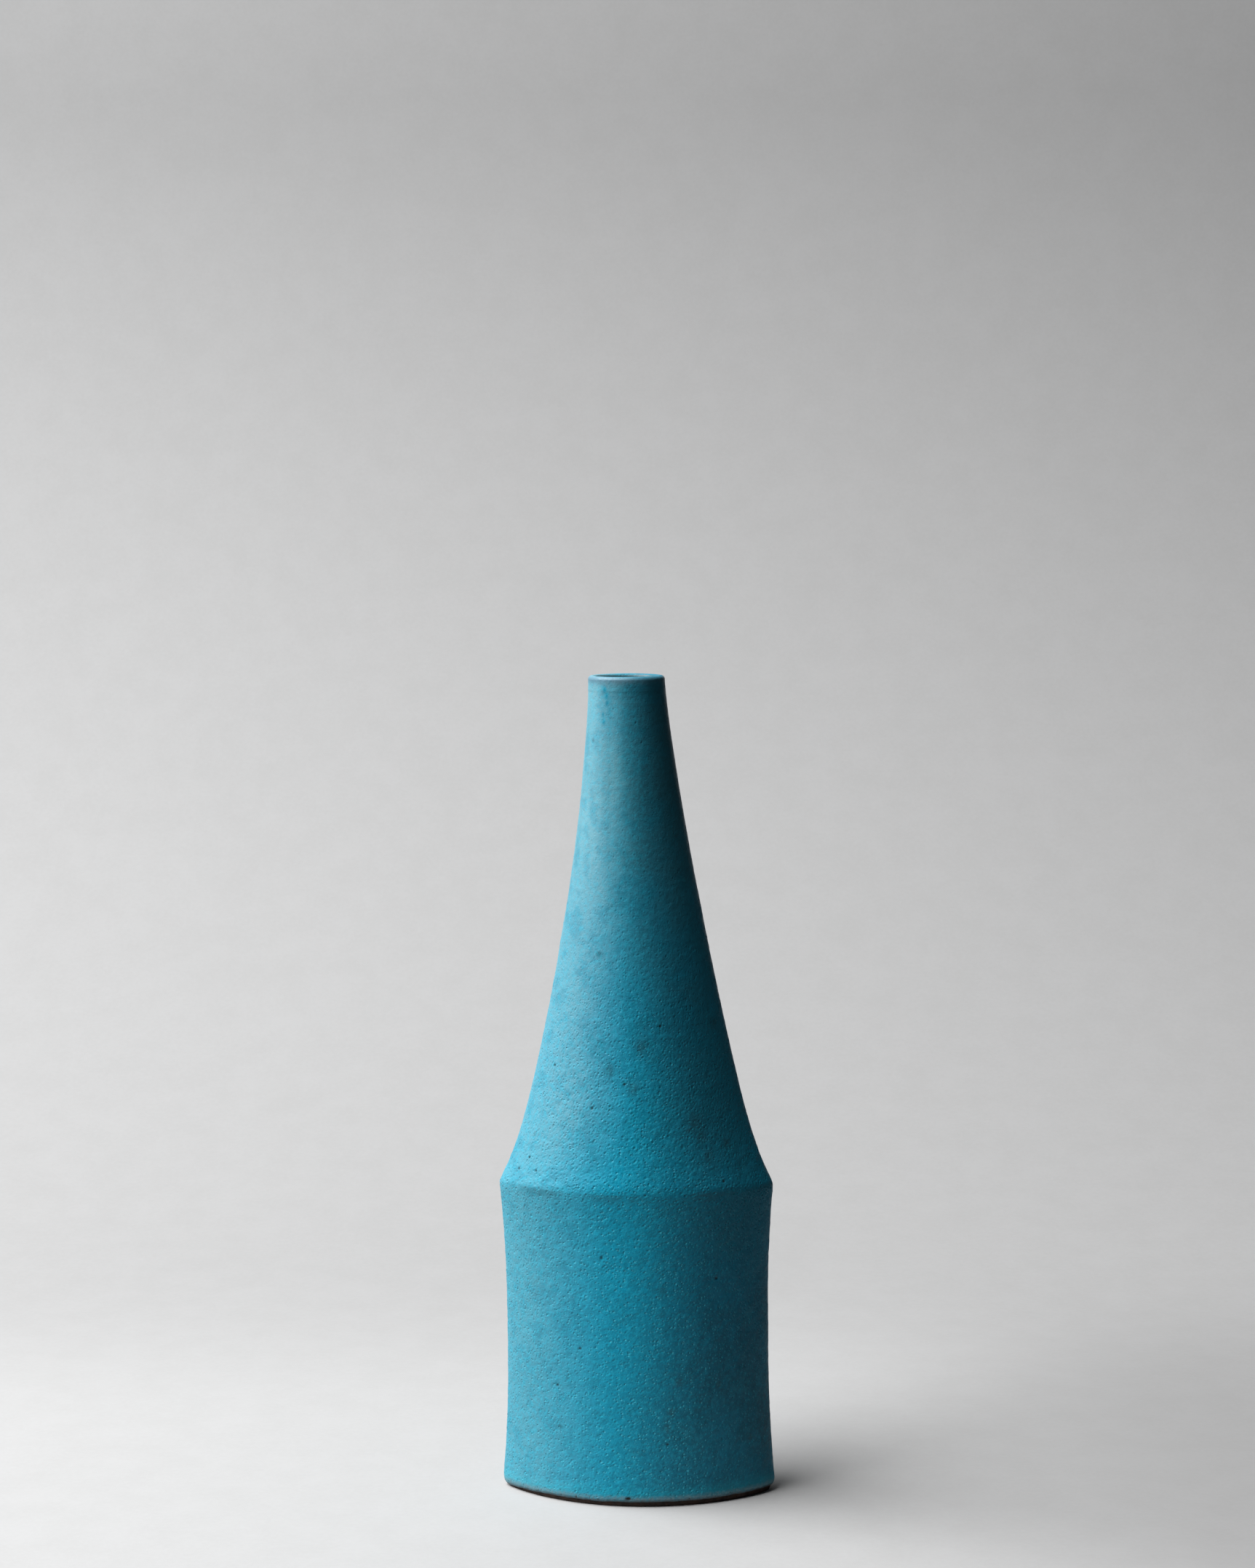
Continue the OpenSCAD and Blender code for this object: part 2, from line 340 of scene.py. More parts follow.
def wander(z):
    """How far a point of a ring at height z is moved up with the glaze's lower edge."""
    return hem_wander * (1 - share(z, HEM_Z + 0.4, HEM_Z + 3.5))[:, None]


smooth[..., 2] += wander(skin_z)
smooth_normal = grid_normals(smooth)

# Slow waves left by the hand, and a fine unevenness that dies away towards the mouth.
fine_share = 1 - 0.7 * share(smooth[..., 2], RIDGE_Z, TOTAL_H)
relief = (0.11 * value_noise(smooth, 26.0, 3) + 0.05 * value_noise(smooth, 9.0, 4)
          + 0.045 * value_noise(smooth, 2.1, 5) * fine_share
          + 0.032 * value_noise(smooth, 1.0, 6) * fine_share)
relief *= np.where(skin_z > LIP_BAND_Z - 1, 0.45, 1.0)[:, None]


def dimple_chance(z):
    """How many of the possible dimples there are: most above the ridge, few at the neck."""
    return 0.72 + 0.2 * math.exp(-((z - RIDGE_Z - 18) / 32.0) ** 2) - 0.62 * float(share(z, 125, 195))


rng = np.random.default_rng(11)
dimple_sites = scatter_sites(smooth[:BAND_ROW], 1.15, dimple_chance, 21)
dimple_z = smooth[dimple_sites[:, 0].astype(int), 0, 2]
dimple_side = np.cos(2 * np.pi * dimple_sites[:, 1] / RING_N)

# They are widest just above the ridge, and shallower on the neck and on the drum's +X side.
above_ridge = np.exp(-((dimple_z - RIDGE_Z - 12) / 26.0) ** 2)
dimple_r = rng.uniform(0.22, 0.38, len(dimple_sites)) * (1 + 0.2 * above_ridge)
dimple_d = dimple_r * rng.uniform(0.10, 0.40, len(dimple_sites))
dimple_d *= np.where(dimple_z < RIDGE_Z, 1.15, 0.9)
dimple_d *= 1 - 0.62 * share(dimple_z, 130, 190)
dimple_d *= 1 - 0.5 * share(dimple_side, -0.1, 0.6) * (1 - share(dimple_z, 60, 88))
change, dimpled, dimple_glint = press_dimples(smooth, dimple_sites, dimple_r, dimple_d)
relief += change

# ---- Marks that this vase has, on its front ----------------------------------------------------

# Each is given in mm by its place (x, z), and then by its radius and its stretch along X where these
# differ from mark to mark.

PINHOLES = [(7.5, 128.5), (-2.0, 113.5), (-10.5, 107.0), (-21.0, 117.0), (-28.0, 92.0), (-26.0, 89.0),
            (-31.0, 88.5), (24.0, 87.0), (-8.0, 67.5), (22.0, 61.0), (-14.0, 42.5), (-20.5, 31.5),
            (9.0, 17.0)]
NECK_PINHOLES = [(1.0, 208.0), (2.5, 203.0)]
SMUDGES = [(16.5, 103.0, 2.6), (18.0, 99.0, 1.8), (0.5, 112.5, 2.2), (2.5, 123.5, 2.4), (20.0, 94.0, 1.6),
           (24.5, 96.5, 1.4), (-6.0, 117.0, 1.7), (12.0, 34.0, 1.3), (10.0, 26.0, 1.2), (9.0, 21.5, 1.3),
           (21.0, 128.0, 1.4)]
SMEARS = [(-7.3, 216.6, 0.9), (-6.8, 214.9, 0.9), (-6.6, 213.2, 0.9), (-7.8, 210.1, 0.6), (-7.6, 208.2, 0.9)]
CHIPS = [(-1.5, 2.45, 0.50, 1.6), (-15.5, 1.75, 0.28, 0.8)]
front = slice(RING_N // 2, RING_N)


def place_on_front(x, z):
    """The point of the front surface at a place given by x and z."""
    sheet = smooth[:BAND_ROW, front]
    gap = (sheet[..., 0] - x) ** 2 + (sheet[..., 2] - z) ** 2
    return sheet[np.unravel_index(np.argmin(gap), gap.shape)]


def mark_all(marks, sharpness):
    """How strongly each point lies in a mark, given as (x, z, radius, stretch along X)."""
    strength = np.zeros(smooth.shape[:2])
    for x, z, radius, stretch in marks:
        gap = smooth - place_on_front(x, z)
        gap[..., 0] /= stretch
        strength = np.maximum(strength, np.exp(-(np.sum(gap ** 2, axis=-1) / radius ** 2) ** sharpness))
    return strength


PINHOLE_R, NECK_PINHOLE_R = 0.36, 0.24
pinhole = mark_all([(x, z, PINHOLE_R, 1.0) for x, z in PINHOLES], 1.5)
neck_pinhole = mark_all([(x, z, NECK_PINHOLE_R, 1.0) for x, z in NECK_PINHOLES], 1.5)
pinhole = np.maximum(pinhole, 0.6 * neck_pinhole)
smear = mark_all([(x, z, radius, 0.6) for x, z, radius in SMEARS], 1.0)
smudge = mark_all([(x, z, radius, 0.8) for x, z, radius in SMUDGES], 1.0)
chip = mark_all(CHIPS, 3.0)
PINHOLE_DEPTH, CHIP_DEPTH = 0.22, 0.24
relief -= PINHOLE_DEPTH * pinhole + CHIP_DEPTH * chip

# The glaze ends smoothly at its hem, and nowhere is it pressed through to its own back.
relief *= (0.1 + 0.9 * share(skin_z, HEM_Z, HEM_Z + 1.0))[:, None]
LEAST_GLAZE_T = 0.03
thickness = np.where(skin_z < LIP_BAND_Z, GLAZE_T - np.minimum(skin_inset, GLAZE_T), LIP_GLAZE_T)
relief = np.maximum(relief, LEAST_GLAZE_T - thickness[:, None])

skin = smooth + smooth_normal * relief[..., None]
skin_normal = grid_normals(skin)

# ---- What the material reads at each point of the skin -----------------------------------------

# The outer edge of the lip, where the glaze has run thin.
over_lip = np.clip((skin_inset - 0.15 * LIP_R) / (1.1 * LIP_R), 0, 1)
worn_edge = share(skin_z, LIP_BAND_Z - 0.5, LIP_Z + 0.3) * (1 - over_lip) ** 0.7
worn_edge[:BAND_ROW - 5] = 0

# The inner edge of the lip and what lies below it, inside the mouth.
turned_in = share(lip_angle, math.radians(118), math.radians(150))
inner_edge = np.concatenate([np.zeros(len(outer_z) + len(band_z)), turned_in, np.ones(len(band_z) + 1)])


def all_round(row_values):
    """Gives the value of each row to every point of the row."""
    return row_values[:, None] * np.ones(RING_N)


PAINTED = {
    "dimple": dimpled,
    "thin": all_round(worn_edge),
    # painted glints beside the dimples
    "dimple_glint": dimple_glint,
    "smudge": smudge,
    "smear": smear,
    "side": np.ones((len(skin_z), 1)) * np.cos(around_angle),     # -1 at the -X end, 1 at the +X end
    "inside": all_round(inner_edge),
    "above_hem": all_round((skin_z - HEM_Z) * MM),
    "bare": np.maximum(chip, 0.9 * pinhole),
}

# ---- The coats on the outside ------------------------------------------------------------------

BACK_PITCH = 6      # spacing of the rows that lie hidden against the clay, mm


def glaze_piece(name, rows, back_z, back_inset):
    """A closed coat: the fine outer rows, and coarse rows of the face against the clay."""
    back = rings(back_z, back_inset)
    back[..., 2] += wander(back_z)
    piece = ring_mesh(name, [(skin[rows], skin_normal[rows]),
                             (back, -grid_normals(back[::-1])[::-1])])
    unpainted = np.zeros(back.shape[:2])
    for field, values in PAINTED.items():
        on_back = values[:1] + unpainted if field == "side" else unpainted
        paint(piece, field, [values[rows], on_back])
    return piece


cone_rows = slice(RIDGE_ROW, BAND_ROW + 1)
drum_rows = slice(0, RIDGE_ROW + 1)
lip_rows = slice(BAND_ROW, len(skin_z))

drum_back = spaced(HEM_Z + 0.02, RIDGE_Z, BACK_PITCH)[::-1]
cone_back = spaced(RIDGE_Z, LIP_BAND_Z, BACK_PITCH)[::-1]
lip_back = np.linspace(np.pi, 0, 13)
clay_lip_r = LIP_R - LIP_GLAZE_T

drum_glaze = glaze_piece("drum_glaze_coat", drum_rows, drum_back, GLAZE_T)
cone_glaze = glaze_piece("cone_glaze_coat", cone_rows, cone_back, GLAZE_T)
lip_glaze = glaze_piece(
    "lip_glaze_coat", lip_rows,
    np.concatenate([[LIP_BAND_Z], LIP_Z + clay_lip_r * np.sin(lip_back), [LIP_BAND_Z]]),
    np.concatenate([[LIP_R + clay_lip_r], LIP_R - clay_lip_r * np.cos(lip_back), [GLAZE_T]]))

# ---- The glaze inside, from the lip's band down to the floor -------------------------------------

LINER_N = 360


def hollow_steps(more):
    """Heights and insets of the hollow's wall, from the floor up, moved in from the clay by more."""
    turn = np.linspace(0, np.pi / 2, 9)
    floor = [(SLAB_T + FOOT_COIL_R - (FOOT_COIL_R - more) * math.cos(a),
              INNER + FOOT_COIL_R - (FOOT_COIL_R - more) * math.sin(a)) for a in turn]
    wall = [(z, INNER + more) for z in spaced(12, RIDGE_Z - RIDGE_COIL_H - 1, 3)]
    coil = [(RIDGE_Z - RIDGE_COIL_H, INNER + more),
            (RIDGE_Z - 2, INNER + 0.8 * RIDGE_COIL_T + more),
            (RIDGE_Z, INNER + RIDGE_COIL_T + more),
            (RIDGE_Z + 3, INNER + 0.6 * RIDGE_COIL_T + more),
            (RIDGE_Z + RIDGE_COIL_H, INNER + more)]
    neck = [(z, float(cone_inner(z)) + more)
            for z in spaced(RIDGE_Z + RIDGE_COIL_H + 4, LIP_BAND_Z, 1.5)]
    return np.array(floor + wall + coil + neck)


clay_side, wet_side = hollow_steps(0), hollow_steps(LINER_T)[::-1]
hidden = rings(clay_side[:, 0], clay_side[:, 1], LINER_N)
shown = rings(wet_side[:, 0], wet_side[:, 1], LINER_N)
shown_normal = grid_normals(shown)
shown = shown + shown_normal * (0.10 * value_noise(shown, 9.0, 31)
                                + 0.03 * value_noise(shown, 3.0, 32))[..., None]
liner = ring_mesh("liner_glaze_coat", [(hidden, grid_normals(hidden)), (shown, grid_normals(shown))],
                  loop=False)

# ---- The bare clay foot ------------------------------------------------------------------------

FOOT_N = 480

# Heights and insets of the slab's rings: flat below, a worn corner, the bare edge just inside the glaze,
# and a flat top under the drum's wall.
foot_z = np.array([0, 0, 0, 0, 0.15, 0.4, 0.7, 1.0, 1.4, 1.8, 2.6, 4.0, SLAB_T, SLAB_T])
foot_inset = np.array([14, 8, 3, 0.58, 0.46, 0.42, 0.41, 0.41, 0.41, 0.41, 0.41, 0.41, 0.41, 8.0])
foot_grid = rings(foot_z, foot_inset, FOOT_N)
grog = 0.05 * value_noise(foot_grid, 0.9, 41) + 0.05 * value_noise(foot_grid, 2.4, 42)
grog *= ((foot_z > 0.1) & (foot_z < 2.7))[:, None]
MOST_GROG = 0.06
foot_grid = foot_grid + grid_normals(foot_grid) * np.minimum(grog, MOST_GROG)[..., None]
foot = ring_mesh("foot_slab", [(foot_grid, grid_normals(foot_grid))], loop=False)


# ---- Materials ---------------------------------------------------------------------------------

class Nodes:
    """A short way to build a material's nodes."""

    def __init__(self, name):
        self.material = bpy.data.materials.new(name)
        self.material.use_nodes = True
        self.tree = self.material.node_tree
        self.shader = self.tree.nodes["Principled BSDF"]
        self.place = self.add("ShaderNodeTexCoord").outputs["Object"]

    def add(self, kind, **settings):
        """A new node with its settings made."""
        made = self.tree.nodes.new(kind)
        for key, value in settings.items():
            setattr(made, key, value)
        return made

    def put(self, socket, value):
        """Gives a socket a number, a colour or a link."""
        if isinstance(value, bpy.types.NodeSocket):
            self.tree.links.new(value, socket)
        elif isinstance(value, tuple) and len(value) == 3 and socket.type == "RGBA":
            socket.default_value = (*value, 1)
        else:
            socket.default_value = value

    def noise(self, scale, detail=3.0, roughness=0.55, place=None):
        """Noise whose lumps are scale millimetres across."""
        made = self.add("ShaderNodeTexNoise")
        self.put(made.inputs["Vector"], place or self.place)
        self.put(made.inputs["Scale"], 1 / (scale * MM))
        self.put(made.inputs["Detail"], detail)
        self.put(made.inputs["Roughness"], roughness)
        return made.outputs["Fac"]

    def drawn_out(self, stretch):
        """The place, with noise read from it drawn out vertically."""
        made = self.add("ShaderNodeMapping")
        self.put(made.inputs["Vector"], self.place)
        made.inputs["Scale"].default_value = (1, 1, 1 / stretch)
        return made.outputs["Vector"]

    def ramp(self, value, low, high, start=0.0, end=1.0):
        """Goes smoothly from start to end while the value goes from low to high."""
        made = self.add("ShaderNodeMapRange", interpolation_type="SMOOTHSTEP")
        for socket, given in zip(made.inputs, (value, low, high, start, end)):
            self.put(socket, given)
        return made.outputs["Result"]

    def math(self, operation, a, b=0.0):
        """What an operation makes of two numbers."""
        made = self.add("ShaderNodeMath", operation=operation)
        self.put(made.inputs[0], a)
        self.put(made.inputs[1], b)
        return made.outputs[0]

    def times(self, a, b):
        """a multiplied by b."""
        return self.math("MULTIPLY", a, b)

    def blend(self, factor, a, b):
        """Colour a turned into colour b by the factor. The node's sockets for colours come after those
        for numbers and vectors."""
        made = self.add("ShaderNodeMix", data_type="RGBA", blend_type="MIX")
        self.put(made.inputs[0], factor)
        self.put(made.inputs[6], a)
        self.put(made.inputs[7], b)
        return made.outputs[2]

    def stored(self, name):
        """A value painted on the mesh."""
        return self.add("ShaderNodeAttribute", attribute_name=name).outputs["Fac"]

    def position(self, axis):
        """The place along one axis, in metres."""
        split = self.add("ShaderNodeSeparateXYZ")
        self.put(split.inputs[0], self.place)
        return split.outputs[axis]

    def moved(self, x, y, z):
        """The place moved back by x, y and z, in mm, so that what is read from it moves on by as much."""
        made = self.add("ShaderNodeMapping")
        self.put(made.inputs["Vector"], self.place)
        made.inputs["Location"].default_value = (-x * MM, -y * MM, -z * MM)
        return made.outputs["Vector"]

    def spots(self, spacing, least, most, share_kept, place=None):
        """Soft round spots, one at most in each cell of the spacing. Each has its own size, in mm."""
        cells = self.add("ShaderNodeTexVoronoi")
        self.put(cells.inputs["Vector"], place or self.place)
        self.put(cells.inputs["Scale"], 1 / (spacing * MM))
        self.put(cells.inputs["Randomness"], 0.9)
        pick = self.add("ShaderNodeSeparateColor")
        self.put(pick.inputs[0], cells.outputs["Color"])
        size = self.ramp(pick.outputs[0], 0, 1, least / spacing, most / spacing)
        near = self.math("DIVIDE", cells.outputs["Distance"], size)
        spot = self.ramp(near, 1.0, 0.25)
        return self.times(spot, self.math("LESS_THAN", pick.outputs[1], share_kept))

    def bump(self, height, strength, distance, below=None):
        """A normal bumped by a height of up to distance mm, over the normal below it."""
        made = self.add("ShaderNodeBump")
        self.put(made.inputs["Height"], height)
        self.put(made.inputs["Strength"], strength)
        self.put(made.inputs["Distance"], distance * MM)
        if below is not None:
            self.put(made.inputs["Normal"], below)
        return made.outputs["Normal"]


# Painted light and painted shade: tones that stand in for the key light at the lit -X end, and for shade at
# the +X end and low down on that side.
PAINTED_LIGHT_DRUM, PAINTED_LIGHT_CONE, PAINTED_LIGHT_NECK = (0.098, 0.282, 0.348), (0.138, 0.298, 0.358), (0.165, 0.332, 0.392)
PAINTED_SHADE_DRUM, PAINTED_SHADE_CONE, PAINTED_SHADE_LOW = (0.000, 0.036, 0.068), (0.010, 0.100, 0.150), (0.000, 0.050, 0.075)

# Tones of its patches. Past a leaning line the neck's +X part takes painted shade, and the clouds and hazy
# patches, random in themselves, grow stronger towards the +X end as painted shade.
BLOTCH, STREAK, PAINTED_NECK_SHADE = (0.002, 0.15, 0.24), (0.020, 0.135, 0.185), (0.006, 0.070, 0.100)
CLOUD_AND_SHADE, HAZE_AND_SHADE = (0.002, 0.16, 0.26), (0.010, 0.115, 0.155)
FRECKLE, SMEAR = (0.014, 0.060, 0.082), (0.001, 0.17, 0.26)

# Its finest pits: their spacing, least and most radius in mm, and the share of them that there is.
FINE_PITS = (0.95, 0.18, 0.38, 0.95)

# Tones of its pale grainy specks, partly painted highlights; of painted shade in its pits and under the
# ridge; and of painted glints beside its pits and dimples.
GRAIN_AND_GLINTS, PIT_SHADE, PIT_GLINT = (0.014, 0.38, 0.53), (0.002, 0.08, 0.14), (0.075, 0.47, 0.57)
DIMPLE_GLINT, SHADE_UNDER_RIDGE = (0.030, 0.50, 0.62), (0.020, 0.085, 0.115)

# Tones near its lower edge, inside the mouth and where it is broken through.
POOLED, FRINGE = (0.010, 0.38, 0.48), (0.13, 0.235, 0.275)
EDGE_PIT, EDGE_BROWN = (0.006, 0.040, 0.055), (0.055, 0.055, 0.058)
IN_MOUTH, BARE = (0.035, 0.075, 0.085), (0.010, 0.009, 0.008)

# The painted shade on the neck's +X part begins past a line that leans by this much of its height, and is
# here at the given height.
SHADE_LINE_LEAN, SHADE_LINE_X, SHADE_LINE_AT_Z = 0.078, 0.0021, 0.195


# In the functions below, n is the material's Nodes, height is in metres, and side_on goes from -1 at the
# -X end to 1 at the +X end.

def own_tone(n, height, side_on, body, neck_tone):
    """The glaze's colour with painted light and shade: paler towards the lit -X end, deeper towards the +X
    end, and deeper still low down on that side.
    """
    colour = n.blend(n.ramp(height, 0.105, 0.200), body, neck_tone)
    # Painted light: paler towards the lit -X end.
    pale = n.blend(n.ramp(height, 0.075, 0.11), PAINTED_LIGHT_DRUM, PAINTED_LIGHT_CONE)
    pale = n.blend(n.ramp(height, 0.13, 0.19), pale, PAINTED_LIGHT_NECK)
    towards_light = n.math("SUBTRACT", side_on, n.ramp(height, 0.082, 0.105, 0.0, 0.18))
    colour = n.blend(n.times(n.ramp(towards_light, -0.10, -0.90), 0.75), colour, pale)
    # Painted shade: deeper towards the +X end, reaching further round on the neck.
    deep = n.blend(n.ramp(height, 0.05, 0.10), PAINTED_SHADE_DRUM, PAINTED_SHADE_CONE)
    turned = n.math("ADD", side_on, n.ramp(height, 0.100, 0.175, 0.0, 0.24))
    colour = n.blend(n.times(n.ramp(turned, -0.12, 0.66), 0.78), colour, deep)
    # Painted shade low down on the +X side.
    low_shade = n.times(n.ramp(height, 0.060, 0.005), n.ramp(side_on, -0.40, 0.60, 0.08, 0.60))
    return n.blend(low_shade, colour, PAINTED_SHADE_LOW)


def add_patches(n, height, side_on, colour):
    """Blotches all over and streaks on the neck. Painted shade on the neck's +X part, past a leaning
    line. Soft clouds and hazy patches, partly painted shade, as they grow stronger towards the +X end.
    """
    colour = n.blend(n.ramp(n.noise(4.5, 3.0, 0.6), 0.45, 0.65, 0.0, 0.28), colour, BLOTCH)

    streak = n.ramp(n.noise(4.5, 2.0, 0.5, n.drawn_out(14.0)), 0.38, 0.66)
    streak = n.times(streak, n.ramp(height, 0.13, 0.19, 0.0, 0.34))
    streak = n.times(streak, n.ramp(side_on, -0.8, -0.2, 0.3, 1.0))
    colour = n.blend(streak, colour, STREAK)

    # Painted shade: the neck is darker past a leaning line on its +X part.
    shade_line_x = n.math("MULTIPLY_ADD", height, SHADE_LINE_LEAN)
    shade_line_x.node.inputs[2].default_value = SHADE_LINE_X - SHADE_LINE_LEAN * SHADE_LINE_AT_Z
    painted_neck_shade = n.ramp(n.math("SUBTRACT", n.position("X"), shade_line_x), -0.0001, 0.0003)
    painted_neck_shade = n.times(painted_neck_shade, n.ramp(height, 0.168, 0.190, 0.0, 0.22))
    colour = n.blend(painted_neck_shade, colour, PAINTED_NECK_SHADE)

    # Random clouds and hazy patches, stronger towards the +X end, where they are partly painted shade.
    cloud_and_shade = n.ramp(n.noise(26.0, 4.0, 0.6), 0.40, 0.66)
    cloud_and_shade = n.times(cloud_and_shade, n.ramp(side_on, -0.8, -0.1, 0.10, 0.40))
    colour = n.blend(cloud_and_shade, colour, CLOUD_AND_SHADE)
    haze_and_shade = n.ramp(n.noise(9.0, 5.0, 0.68), 0.52, 0.76)
    haze_and_shade = n.times(haze_and_shade, n.ramp(side_on, -0.7, 0.0, 0.07, 0.44))
    return n.blend(haze_and_shade, colour, HAZE_AND_SHADE)


def add_marks(n, colour):
    """Freckles and smudges, and the smears below the lip."""
    freckle = n.math("ADD", n.spots(8.0, 0.5, 1.3, 0.5), n.stored("smudge"))
    colour = n.blend(n.times(freckle, 0.60), colour, FRECKLE)
    return n.blend(n.times(n.stored("smear"), 0.85), colour, SMEAR)


def add_grain(n, height, side_on, colour, fine_pits, quiet):
    """Pale grainy specks, partly painted highlights that fade towards the +X end. Painted glints on the
    lower +X side of the fine pits and the pressed dimples, painted shade in the pits and dimples, and
    painted shade just under the ridge.
    """
    # Pale grainy specks, partly painted highlights: they fade towards the +X end.
    grain_and_glints = n.ramp(n.noise(1.1, 5.0, 0.8), 0.42, 0.66)
    grain_and_glints = n.times(grain_and_glints, n.ramp(height, 0.11, 0.18, 0.42, 0.30))
    grain_and_glints = n.times(grain_and_glints, n.ramp(side_on, 0.0, 0.7, 1.0, 0.3))
    colour = n.blend(grain_and_glints, colour, GRAIN_AND_GLINTS)

    # Painted glints on the lower +X side of the fine pits.
    pit_glints = n.times(n.spots(*FINE_PITS, n.moved(0.22, 0.0, -0.09)), quiet)
    low_down = n.times(n.ramp(height, 0.095, 0.070, 0.16, 0.46), n.ramp(side_on, 0.2, 0.8, 1.0, 0.5))
    low_down = n.times(low_down, n.ramp(side_on, -0.9, -0.3, 0.6, 1.0))
    colour = n.blend(n.times(pit_glints, low_down), colour, PIT_GLINT)
    # Painted glints on the lower +X side of the pressed dimples.
    colour = n.blend(n.times(n.stored("dimple_glint"), n.times(quiet, 0.36)), colour, DIMPLE_GLINT)

    # Painted shade in the fine pits and the dimples, lighter towards the lit -X end.
    pit_shade = n.math("MAXIMUM", n.times(fine_pits, 0.30), n.times(n.stored("dimple"), 0.38))
    pit_shade = n.times(pit_shade, n.ramp(side_on, -0.9, -0.3, 0.45, 1.0))
    colour = n.blend(pit_shade, colour, PIT_SHADE)

    # Painted shade in a patchy band just under the ridge.
    below_ridge = n.ramp(height, (RIDGE_Z - 3.3) * MM, (RIDGE_Z - 1.0) * MM)
    up_to_ridge = n.ramp(height, (RIDGE_Z + 0.2) * MM, (RIDGE_Z - 0.6) * MM)
    shade_under_ridge = n.times(below_ridge, up_to_ridge)
    shade_under_ridge = n.times(shade_under_ridge, n.ramp(n.noise(14.0, 3.0), 0.42, 0.60))
    return n.blend(n.times(shade_under_ridge, 0.40), colour, SHADE_UNDER_RIDGE)


def add_lower_edge(n, colour):
    """Pooled glaze above the foot, then a milky pitted fringe, and brown where it ends."""
    above = n.math("ADD", n.stored("above_hem"), n.times(n.noise(1.0, 3.0), 0.0010))
    colour = n.blend(n.times(n.ramp(above, 0.0060, 0.0020), 0.22), colour, POOLED)
    mottled = n.ramp(n.noise(0.8, 3.0, 0.6), 0.36, 0.60, 0.40, 0.85)
    colour = n.blend(n.times(n.ramp(above, 0.0029, 0.0015), mottled), colour, FRINGE)
    edge_pits = n.times(n.spots(1.5, 0.20, 0.42, 0.8), n.ramp(above, 0.0042, 0.0020, 0.0, 0.75))
    colour = n.blend(edge_pits, colour, EDGE_PIT)
    return n.blend(n.times(n.ramp(above, 0.0016, 0.0005), 0.80), colour, EDGE_BROWN)


def add_worn_lip(n, side_on, colour, broken_tone):
    """The glaze broken thin over the lip, darker inside the mouth, and bare clay in the pinholes."""
    worn = n.times(n.stored("thin"), n.ramp(side_on, 0.7, -0.3, 0.55, 1.0))
    worn = n.math("ADD", worn, n.times(n.noise(1.6, 4.0), 0.5))
    colour = n.blend(n.ramp(worn, 0.45, 1.35), colour, broken_tone)
    colour = n.blend(n.times(n.stored("inside"), 0.85), colour, IN_MOUTH)
    bare = n.math("MAXIMUM", n.stored("bare"), n.spots(21.0, 0.26, 0.45, 0.35))
    return n.blend(bare, colour, BARE)


def turquoise_glaze(name, body, neck_tone, broken_tone):
    """Dry satin turquoise glaze. It has cloudy depth, thin brownish patches, pits and pale grainy specks.
    Its colour also carries painted light and shade by side, painted glints and painted shade at its pits.
    """
    n = Nodes(name)
    height, side_on = n.position("Z"), n.stored("side")
    quiet = n.ramp(height, 0.105, 0.165, 1.0, 0.22)
    fine_pits = n.times(n.spots(*FINE_PITS), quiet)

    colour = own_tone(n, height, side_on, body, neck_tone)
    colour = add_patches(n, height, side_on, colour)
    colour = add_marks(n, colour)
    colour = add_grain(n, height, side_on, colour, fine_pits, quiet)
    colour = add_lower_edge(n, colour)
    colour = add_worn_lip(n, side_on, colour, broken_tone)
    n.put(n.shader.inputs["Base Color"], colour)

    patchy = n.ramp(n.noise(1.4, 3.0), 0.3, 0.7, -0.07, 0.07)
    n.put(n.shader.inputs["Roughness"], n.math("ADD", patchy, n.ramp(height, 0.10, 0.19, 0.50, 0.40)))
    n.put(n.shader.inputs["Specular IOR Level"], 0.2)
    smoother_neck = n.ramp(height, 0.10, 0.19, 0.95, 0.60)
    pitted = n.bump(n.times(fine_pits, -1.0), 0.9, 0.11)
    coarse_grain = n.bump(n.noise(1.2, 3.0, 0.6), smoother_neck, 0.15, pitted)
    fine_grain = n.bump(n.noise(0.45, 3.0, 0.65), smoother_neck, 0.07, coarse_grain)
    n.put(n.shader.inputs["Normal"], fine_grain)
    return n.material


def clay(name, dark, light, speck):
    """Unglazed stoneware: gritty, with dark and rusty grains."""
    n = Nodes(name)
    colour = n.blend(n.ramp(n.noise(2.2, 5.0, 0.65), 0.35, 0.7), dark, light)
    colour = n.blend(n.spots(0.9, 0.12, 0.3, 0.5), colour, speck)
    n.put(n.shader.inputs["Base Color"], colour)
    n.put(n.shader.inputs["Roughness"], n.ramp(n.noise(0.8, 3.0), 0.3, 0.7, 0.75, 0.95))
    n.put(n.shader.inputs["Specular IOR Level"], 0.3)
    n.put(n.shader.inputs["Normal"], n.bump(n.noise(0.5, 5.0, 0.7), 0.5, 0.12))
    return n.material


